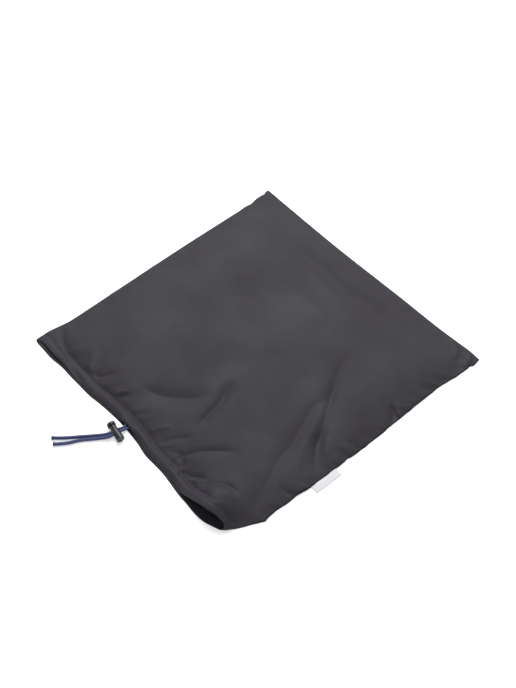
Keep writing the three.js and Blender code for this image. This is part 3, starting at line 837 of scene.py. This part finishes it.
frontForm = {
    "columns": 214,
    "rows": 216,
    "thickness": 0.5 * mm,
    "start": 20.4 * mm,  # tucked a little way into the stitch line of the casing
    "puff": 10 * mm,
    "edgeRoll": 32 * mm,
    "mouthRoll": 36 * mm,
    "stitchRise": 0.6 * mm,
    "middle": 1.5 * mm,  # middle of the cloth where it lies on the back
    "seam": 1.15 * mm,
    "seamFade": 2.5 * mm,
    "lowest": 1 * mm,
    "tuckUnder": 0.2 * mm,
    "tuckShare": 0.005,
    "labelLift": 1.7 * mm,  # it rises over the label
    "labelClear": 30.5 * mm,
    "labelFade": 30 * mm,
    "labelNear": 20,
    "creaseGain": 1.3,
    "creaseFade": 9 * mm,
    "crossFade": 3 * mm,
    # never quite smooth: two runs of ripples that cross, each with its lean, size, pitch and seed
    "restless": (((0.3, 0.5 * mm, 37 * mm, 14), (-0.25, 1, 44 * mm, 15)),
                 ((-0.4, 0.3 * mm, 17 * mm, 16), (0.3, 1, 23 * mm, 17))),
    # gathers that run from the stitch line into the cloth: size, pitch, seed, middle, half-length
    "gathers": ((0.55 * mm, 9 * mm, 11, 8 * mm, 22 * mm), (0.9 * mm, 24 * mm, 12, 24 * mm, 48 * mm)),
    "gatherLean": 0.42,
    # puckers along the seams: seam, size, pitch, seed
    "puckers": (("left", 0.7 * mm, 13 * mm, 21), ("right", 1.1 * mm, 12 * mm, 22),
                ("bottom", 0.4 * mm, 15 * mm, 23), ("right", 0.7 * mm, 5.5 * mm, 24)),
    "puckerLean": 0.2,
    "puckerReach": 0.7,
}
panelFlat = (bagForm["width"], bagForm["depth"] - frontForm["start"])

# Folds in plan, mm: start, end, bow, width, height and sharpness. A valley has a negative height,
# the bow moves the middle to the left of its run, and a low sharpness makes a narrow crest
folds = (
    ((-165, 176), (160, 188), -4, 15, -3.6, 1.8),  # bottom valley
    ((-165, 202), (165, 212), -3, 13, 2.2, 1.8),  # bottom ridge
    ((104, 90), (224, -80), -7, 9, -4.6, 1.35),  # long valley
    ((174, -24), (222, -76), -4, 7, -3.4, 1.2),  # its foot
    ((140, 22), (206, -106), -2, 8, 1.4, 1.5),  # ridge inside it
    ((134, 18), (216, -200), -4, 10, -3.8, 1.4),  # second valley
    ((146, 88), (224, -28), 4, 12, 1.2, 1.5),  # ridge at the seam
    ((10, -70), (120, -60), 24, 34, 2.4, 2),  # crown
    ((-58, -166), (28, -106), -14, 13, -5, 1.3),  # mouth hollow
    ((31, -68), (55, -156), 4, 8, -4.4, 1.35),  # short streak
    ((232, 62), (190, 86), 0, 9, -2.8, 1.4),  # seam pucker
    ((192, 246), (226, 196), 0, 8, -3.6, 1.3),  # corner crease
    ((-120, 20), (10, 138), 6, 34, -2.6, 2),  # broad hollow
    ((-60, -50), (60, 66), 0, 28, 2.2, 2),  # broad ridge
    ((-214, 224), (-176, 182), 4, 9, -2.2, 1.4),  # far corner line
    ((-36, 118), (86, 92), 10, 16, -1.8, 1.7),  # cross valley
)
creases = (
    ((74, -206), (126, -136), 5, 6, -3, 1.1),  # casing crease
    ((132, -212), (178, -180), 10, 5.5, -3, 1.1),  # lip crease
    ((142, -210), (182, -188), 8, 6, 1, 1.2),  # crest by the lip
    ((106, -218), (130, -192), 3, 4.5, -2.4, 1.1),  # arc before the lip
    ((112, -218), (134, -197), 3, 4.5, 1.3, 1.1),  # crest of that arc
    ((96, -214), (84, -194), 0, 5, -2, 1.1),  # tuck left of the lip
    ((-111, -212), (-142, -176), 4, 6, 1.8, 1.1),  # pleat far left
    ((-100, -212), (-124, -180), 4, 6, -1.8, 1.2),  # valley beside it
    ((-116, -210), (-92, -176), -5, 5, -1.8, 1.2),  # shade by the corner
    ((-66, -208), (-56, -186), 2, 4, 1.2, 1.1),  # pleat left
    ((-58, -210), (-48, -186), 2, 4, -1.2, 1.1),  # pleat by it
    ((16, -210), (34, -178), 2, 5, 1.5, 1.1),  # pleat at the cords
    ((40, -208), (66, -166), 3, 5, -1.6, 1.1),  # pleat right of them
    ((60, -210), (78, -192), 2, 5, -1.8, 1.1),  # tuck at the stitches
    ((214, 240), (226, 214), 0, 4, 1.8, 1.2),  # corner tip
    ((176, 238), (206, 212), 3, 6, 1.5, 1.2),  # corner second line
    ((188, -22), (212, -50), 0, 4, 1.2, 1.2),  # light by the valley
    ((224, -118), (204, -126), 2, 4, -1.2, 1.2),  # edge line low
)
# and these run over the stitch line or out to the side seam
crossings = (
    ((-214, -192), (-104, -230), -2, 7, -2.3, 1.3),  # corner diagonal
    ((-206, -210), (-126, -232), 0, 8, 0.9, 1.5),  # corner band
    ((79, -207), (94, -240), 0, 4, -1.6, 1.2),  # pinch left of the lip
    ((84, -216), (92, -202), 0, 3.5, -1.6, 1.2),  # pucker
    ((97, -219), (107, -204), 0, 3.5, -1.9, 1.2),  # next pucker
    ((91, -216), (99, -202), 0, 3, 1.3, 1.2),  # crest between
    ((233, 65), (206, 84), 0, 4, -3, 1.2),  # side notch
    ((230, 76), (210, 90), 0, 4, 1.1, 1.2),  # crest over it
)
foldForm = {
    "runIn": (-0.12, 0.28),  # shares of its length in which it comes and goes
    "runOut": (0.72, 1.12),
    "uneven": (0.3, 38 * mm),  # share of its height, and pitch
    "stray": (0.3, 31 * mm),  # share of its width, and pitch
}


def foldHeight(fold, x, y):
    start, end, bow, width, height, sharpness = fold
    seed = int(abs(start[0] * 7 + end[1] * 3))  # its own, from its two ends
    start, end, bow, width = np.array(start) * mm, np.array(end) * mm, bow * mm, width * mm
    ahead = end - start
    long = np.linalg.norm(ahead)
    t = ((x - start[0]) * ahead[0] + (y - start[1]) * ahead[1]) / long ** 2
    aside = ((y - start[1]) * ahead[0] - (x - start[0]) * ahead[1]) / long
    middle = np.clip(t, 0, 1)
    # it runs out slowly at both ends, and its depth and its line are uneven
    fade = smoothStep(*foldForm["runIn"], t) * (1 - smoothStep(*foldForm["runOut"], t))
    uneven = 1 + ripple(t * long, *foldForm["uneven"], seed)
    stray = width * ripple(t * long, *foldForm["stray"], seed + 1)
    off = np.abs(aside - bow * 4 * middle * (1 - middle) - stray) / width
    return height * mm * uneven * fade * np.exp(-(off ** sharpness))


def foldSum(rows, x, y):
    return sum(foldHeight(row, x, y) for row in rows)


def frontHeight(u, v):
    x, y = planPoint(u, v)
    width, depth = bagForm["width"], bagForm["depth"]
    fromSeam = {"left": u * width, "right": (1 - u) * width, "bottom": (1 - v) * depth}
    seams = 1
    for distance in fromSeam.values():
        seams = seams * (1 - np.exp(-distance / frontForm["edgeRoll"]))
    fromSide = np.minimum(fromSeam["left"], fromSeam["right"])
    nearSeam = np.minimum(fromSide, fromSeam["bottom"])
    pastStitch = v * depth - casingForm["width"]
    fromStitch = np.maximum(pastStitch, 0)
    mouth = np.exp(-fromStitch / frontForm["mouthRoll"])
    folded = foldSum(folds, x, y)
    # creases stay crisp close to the stitches and seams
    creased = frontForm["creaseGain"] * foldSum(creases, x, y)
    creased = creased * smoothStep(0, frontForm["creaseFade"], np.minimum(nearSeam, fromStitch))
    restless = sum(ripples([one], x, y) * ripples([other], y, x) for one, other in frontForm["restless"])
    gather = 0
    for size, pitch, seed, middle, half in frontForm["gathers"]:
        wave = ripple(x - frontForm["gatherLean"] * fromStitch, size, pitch, seed)
        gather = gather + wave * bump((fromStitch - middle) / half)
    pucker = 0
    for seam, size, pitch, seed in frontForm["puckers"]:
        distance = fromSeam[seam]
        along = x if seam == "bottom" else y
        wave = ripple(along + frontForm["puckerLean"] * distance, size, pitch, seed)
        reach = frontForm["puckerReach"] * pitch
        pucker = pucker + wave * bump((distance - reach) / (2 * reach))
    air = seams * (frontForm["puff"] * (1 - mouth) + frontForm["stitchRise"] * mouth
                   + folded * (1 - mouth) + gather + restless) + creased + pucker * (1 - mouth)
    air = np.maximum(air, 0) + stitchPucker(x, pastStitch) * seams
    pastLabel = np.maximum(np.abs(y - bagForm["labelMiddle"]) - frontForm["labelClear"], 0)
    label = frontForm["labelLift"] * bump(pastLabel / frontForm["labelFade"]) * u ** frontForm["labelNear"]
    drop = (frontForm["middle"] - frontForm["seam"]) * np.exp(-nearSeam / frontForm["seamFade"])
    crossed = foldSum(crossings, x, y) * smoothStep(0, frontForm["crossFade"], fromSide)
    lip = lipShare(u, v)
    height = frontForm["middle"] - drop + air + crossed + label + bagForm["lipHeight"] * lip
    return x, y + bagForm["lipSetback"] * lip, np.maximum(height, frontForm["lowest"])


def panelDepth(share):
    # share of the bag's depth at this share of a panel, which starts under the casing
    start = frontForm["start"] / bagForm["depth"]
    return start + (1 - start) * share


def layPanel(name, form, place):
    piece = layGrid(name, form["columns"], form["rows"], place, panelFlat)[0]
    addModifier(piece, "SOLIDIFY", thickness=form["thickness"], offset=0)
    shadeSmooth(piece)
    return piece


def buildFront():
    def place(u, share):
        x, y, z = frontHeight(u, panelDepth(share))
        return x, y, z - frontForm["tuckUnder"] * (1 - smoothStep(0, frontForm["tuckShare"], share))

    return layPanel("front_cloth", frontForm, place)


backForm = {
    "columns": 90,
    "rows": 184,
    "thickness": 0.4 * mm,
    "rest": 0.3 * mm,
    "seam": 0.6 * mm,
    "seamFade": 4 * mm,
    "wave": 0.22 * mm,
    "waves": ((0.4, 1, 34 * mm, 31),),  # lean, share of the wave, pitch, seed
    "waveFade": 30 * mm,
}


def buildBack():
    def place(u, share):
        v = panelDepth(share)
        x, y = planPoint(u, v)
        fromSeam = np.minimum(np.minimum(u, 1 - u) * bagForm["width"], (1 - v) * bagForm["depth"])
        edge = (backForm["seam"] - backForm["rest"]) * np.exp(-fromSeam / backForm["seamFade"])
        wave = backForm["wave"] * (1 + ripples(backForm["waves"], x, y))
        return x, y, backForm["rest"] + edge + wave * smoothStep(0, backForm["waveFade"], fromSeam)

    return layPanel("back_cloth", backForm, place)


casingCloth = buildCasing()
dress(casingCloth, nylon, "bag", "nylon", "mouth_casing")
print("casing folded")
cordLoop, _, loopLength = buildLoop()
dress(cordLoop, braid, "bag", "cord", "drawcord_loop")
print("cord in the casing:", round(loopLength, 3))

frontCloth = buildFront()
dress(frontCloth, nylon, "bag", "nylon", "front_panel")
backCloth = buildBack()
dress(backCloth, nylon, "bag", "nylon", "back_panel")
print("front and back cloth laid")


# Stitches along the inner edge of the casing

stitchForm = {
    "pitch": 2.9 * mm,
    "length": 2.3 * mm,
    "radius": 0.22 * mm,
    "depth": 20.9 * mm,  # from the mouth edge
    "proud": 0.2 * mm,
    "segments": 8,
    "rings": 5,
}


def buildStitches():
    startPiece()
    bpy.ops.mesh.primitive_uv_sphere_add(
        segments=stitchForm["segments"], ring_count=stitchForm["rings"], radius=1)
    piece = newPiece("casing_stitches")
    one = np.array([v.co for v in piece.data.vertices])
    oneFaces = [list(p.vertices) for p in piece.data.polygons]
    count = round(ringLength / 2 / stitchForm["pitch"])
    u = np.linspace(casingForm["left"], casingForm["right"], count + 1)
    line = np.stack(frontHeight(u, np.full_like(u, stitchForm["depth"] / bagForm["depth"])), axis=1)
    line[:, 2] += stitchForm["proud"]
    half, radius = stitchForm["length"] / 2, stitchForm["radius"]
    points, faces = [], []
    for a, b in zip(line, line[1:]):
        ahead = (b - a) / np.linalg.norm(b - a)
        side = np.cross((0, 0, 1), ahead)
        axes = np.array([half * ahead, radius * side, radius * np.cross(ahead, side)])
        faces += [[i + len(points) for i in face] for face in oneFaces]
        points += ((a + b) / 2 + one @ axes).tolist()
    piece.data.clear_geometry()
    piece.data.from_pydata(points, [], faces)
    shadeSmooth(piece)
    return piece


stitches = buildStitches()
dress(stitches, thread, "bag", "nylon")
print("stitches sewn")


# Cord lock

def pickFaces(piece, test):
    bpy.ops.mesh.select_mode(type="FACE")
    bpy.ops.mesh.select_all(action="DESELECT")
    edit = bmesh.from_edit_mesh(piece.data)
    for face in edit.faces:
        face.select = test(face.calc_center_median(), face.normal)
    edit.select_flush_mode()
    bmesh.update_edit_mesh(piece.data)


def extrudeAlong(distance):
    bpy.ops.mesh.extrude_region_move(TRANSFORM_OT_translate={"value": (distance, 0, 0)})


def addRod(name, radius, low, high):
    startPiece()
    bpy.ops.mesh.primitive_cylinder_add(
        vertices=lockForm["sides"], radius=radius, depth=high - low,
        location=((low + high) / 2, 0, 0), rotation=(0, math.pi / 2, 0))
    piece = newPiece(name)
    bpy.ops.object.transform_apply()
    return piece


def cutSlot(piece, low, high):
    # the way through for both cords, with rounded ends
    startPiece()
    height = lockForm["slotHeight"]
    bpy.ops.mesh.primitive_cube_add(size=1, location=((low + high) / 2, 0, 0))
    cutter = bpy.context.object
    cutter.scale = (high - low, lockForm["slotReach"], height)
    bpy.ops.object.transform_apply()
    bpy.ops.object.mode_set(mode="EDIT")
    bpy.ops.mesh.select_mode(type="EDGE")
    bpy.ops.mesh.select_all(action="DESELECT")
    edit = bmesh.from_edit_mesh(cutter.data)
    for line in edit.edges:
        line.select = abs(line.verts[0].co.y - line.verts[1].co.y) > height
    bmesh.update_edit_mesh(cutter.data)
    bpy.ops.mesh.bevel(offset=lockForm["slotRound"] * height, segments=lockForm["slotSegments"])
    bpy.ops.object.mode_set(mode="OBJECT")
    addModifier(piece, "BOOLEAN", operation="DIFFERENCE", object=cutter, solver="EXACT")
    bpy.data.objects.remove(cutter)


def finishLockPiece(piece):
    addModifier(piece, "BEVEL", width=lockForm["edge"], segments=lockForm["edgeSegments"],
                limit_method="ANGLE", angle_limit=lockForm["edgeAngle"], harden_normals=False)
    closeSeams(piece)
    shadeSmooth(piece, lockForm["smoothAngle"])
    piece.rotation_euler.z = lockForm["turn"]
    piece.location = lockForm["place"]
    startPiece(piece)
    bpy.ops.object.transform_apply()


def buildBarrel():
    low, high = lockForm["barrelMouth"], lockForm["barrelEnd"]
    piece = addRod("lock_barrel_shell", lockForm["barrelRadius"], low, high)

    def narrowMouth():
        pickFaces(piece, lambda middle, normal: normal.x < -lockForm["facing"])
        bpy.ops.transform.resize(value=(1, lockForm["neck"], lockForm["neck"]))
        wall = lockForm["barrelRadius"] * lockForm["neck"] - lockForm["boreRadius"]
        bpy.ops.mesh.inset(thickness=wall)
        extrudeAlong(lockForm["boreEnd"] - low)

    def roundEnd():
        atEnd = high - lockForm["near"]
        pickFaces(piece, lambda middle, normal: normal.x > lockForm["facing"] and middle.x > atEnd)
        bpy.ops.mesh.inset(thickness=lockForm["endInset"])
        pickFaces(piece, lambda middle, normal: middle.x > atEnd and middle.yz.length < lockForm["near"])
        bpy.ops.transform.translate(value=(lockForm["endDome"], 0, 0))

    editMesh(piece, narrowMouth, roundEnd)
    cutSlot(piece, -lockForm["cordsEdge"], lockForm["cordsEdge"] + lockForm["slotSlack"])
    finishLockPiece(piece)
    return piece


def buildPlunger():
    headBase = lockForm["barrelMouth"] - lockForm["travel"] - lockForm["clear"]
    piece = addRod("lock_plunger_button", lockForm["stemRadius"], headBase, lockForm["stemEnd"])

    def addHead():
        pickFaces(piece, lambda middle, normal: normal.x < -lockForm["facing"])
        extrudeAlong(0)
        grow = lockForm["headRadius"] / lockForm["stemRadius"]
        bpy.ops.transform.resize(value=(1, grow, grow))
        extrudeAlong(-lockForm["headLength"])
        for inset, deep in lockForm["dish"]:
            bpy.ops.mesh.inset(thickness=inset)
            bpy.ops.transform.translate(value=(deep, 0, 0))

    editMesh(piece, addHead)
    reach = lockForm["cordsEdge"] + lockForm["travel"] + lockForm["clear"]
    cutSlot(piece, -reach, lockForm["cordsEdge"] + lockForm["clear"])
    finishLockPiece(piece)
    return piece


lockBarrel = buildBarrel()
dress(lockBarrel, acetal, "bag", "lock", "lock_barrel")
lockPlunger = buildPlunger()
dress(lockPlunger, acetal, "plunger", "lock", "lock_plunger")
print("cord lock made")


# Blank label, a ribbon folded double into the side seam

labelForm = {
    "length": 45 * mm,
    "inside": 8 * mm,
    "outside": 12 * mm,
    "held": 2.05 * mm,  # height of its middle in the seam, and at its fold
    "tip": 0.75 * mm,
    "thickness": 0.22 * mm,
    "open": 0.35 * mm,  # half the gap between its layers
    "heldShut": 0.6,  # share of that gap left in the seam
    "foldRound": 24,
    "curl": 0.8 * mm,  # its far end is lifted a little
    "curlFrom": 0.45,
    "waves": (0.25 * mm, 13 * mm, 41),
    "across": 64,
    "along": 60,
}


def buildLabel():
    share = (bagForm["labelMiddle"] + bagForm["depth"] / 2) / bagForm["depth"]
    seam = float(planPoint(np.array([1.0]), np.array([share]))[0][0])
    wide = labelForm["inside"] + labelForm["outside"]

    def place(across, along):
        # across goes out on the lower layer, round the fold and back on the upper one
        out = 1 - np.abs(1 - 2 * across)
        layer = np.where(across < 0.5, -1, 1) * np.sqrt(np.clip(1 - out ** labelForm["foldRound"], 0, 1))
        x = seam - labelForm["inside"] + out * wide
        y = bagForm["labelMiddle"] + (along - 0.5) * labelForm["length"]
        droop = smoothStep(seam, seam + labelForm["outside"], x)
        curl = labelForm["curl"] * smoothStep(labelForm["curlFrom"], 1, along)
        curl = np.maximum(droop * (curl + ripple(y, *labelForm["waves"])), 0)
        middle = labelForm["held"] + (labelForm["tip"] - labelForm["held"]) * droop + curl
        opened = labelForm["heldShut"] + (1 - labelForm["heldShut"]) * droop
        return x, y, middle + layer * labelForm["open"] * opened

    size = (2 * wide, labelForm["length"])
    piece = layGrid("blank_label", labelForm["across"], labelForm["along"], place, size)[0]
    addModifier(piece, "SOLIDIFY", thickness=labelForm["thickness"], offset=0)
    closeSeams(piece)
    shadeSmooth(piece)
    return piece, 2 * wide


label, labelFlat = buildLabel()
dress(label, ribbon, "bag", "label", "seam_label")
print("label folded into the seam")


# Floor and light

stageForm = {
    "size": 12,
    "floor": "#fbfbfb",
    "shade": "#f4f4f5",
    "mottle": 60 * mm,
    "sky": "#ffffff",
    "skyStrength": 0.38,
}


def buildStage():
    startPiece()
    bpy.ops.mesh.primitive_plane_add(size=stageForm["size"])
    floor = bpy.context.object
    floor.name = "floor"
    material, tree, shader = newMaterial("paleSeamlessPaper")
    place = addNode(tree, "TexCoord").outputs["Object"]
    mottle = noise(tree, place, stageForm["mottle"])
    fill(tree, shader, {
        "Base Color": tint(tree, mottle.outputs["Fac"], stageForm["floor"], stageForm["shade"]),
        "Roughness": 0.9, "Specular IOR Level": 0.1,
        "Emission Color": linearOf(stageForm["floor"]), "Emission Strength": 0.5,  # keeps it near white
    })
    floor.data.materials.append(material)


lampRows = (
    # name, place, size, power, colour
    ("keySoftbox", (-1.5, 1.38, 2.6), 2.4, 132, "#ffffff"),
    ("fillSoftbox", (1.3, -1.2, 1.9), 1.8, 2, "#f6f8ff"),
)


def buildLight():
    for name, place, size, power, colour in lampRows:
        startPiece()
        aim = (-Vector(place)).to_track_quat("-Z", "Y").to_euler()
        bpy.ops.object.light_add(type="AREA", location=place, rotation=aim)
        lamp = bpy.context.object
        lamp.name = name
        lamp.data.shape = "SQUARE"
        lamp.data.size = size
        lamp.data.energy = power
        lamp.data.color = linearOf(colour)[:3]
    world = bpy.data.worlds.new("softStudio")
    world.use_nodes = True
    fill(world.node_tree, world.node_tree.nodes["Background"], {
        "Color": linearOf(stageForm["sky"]), "Strength": stageForm["skyStrength"]})
    scene.world = world
    scene.view_settings.view_transform = "Standard"


buildStage()
buildLight()
print("floor and light set")
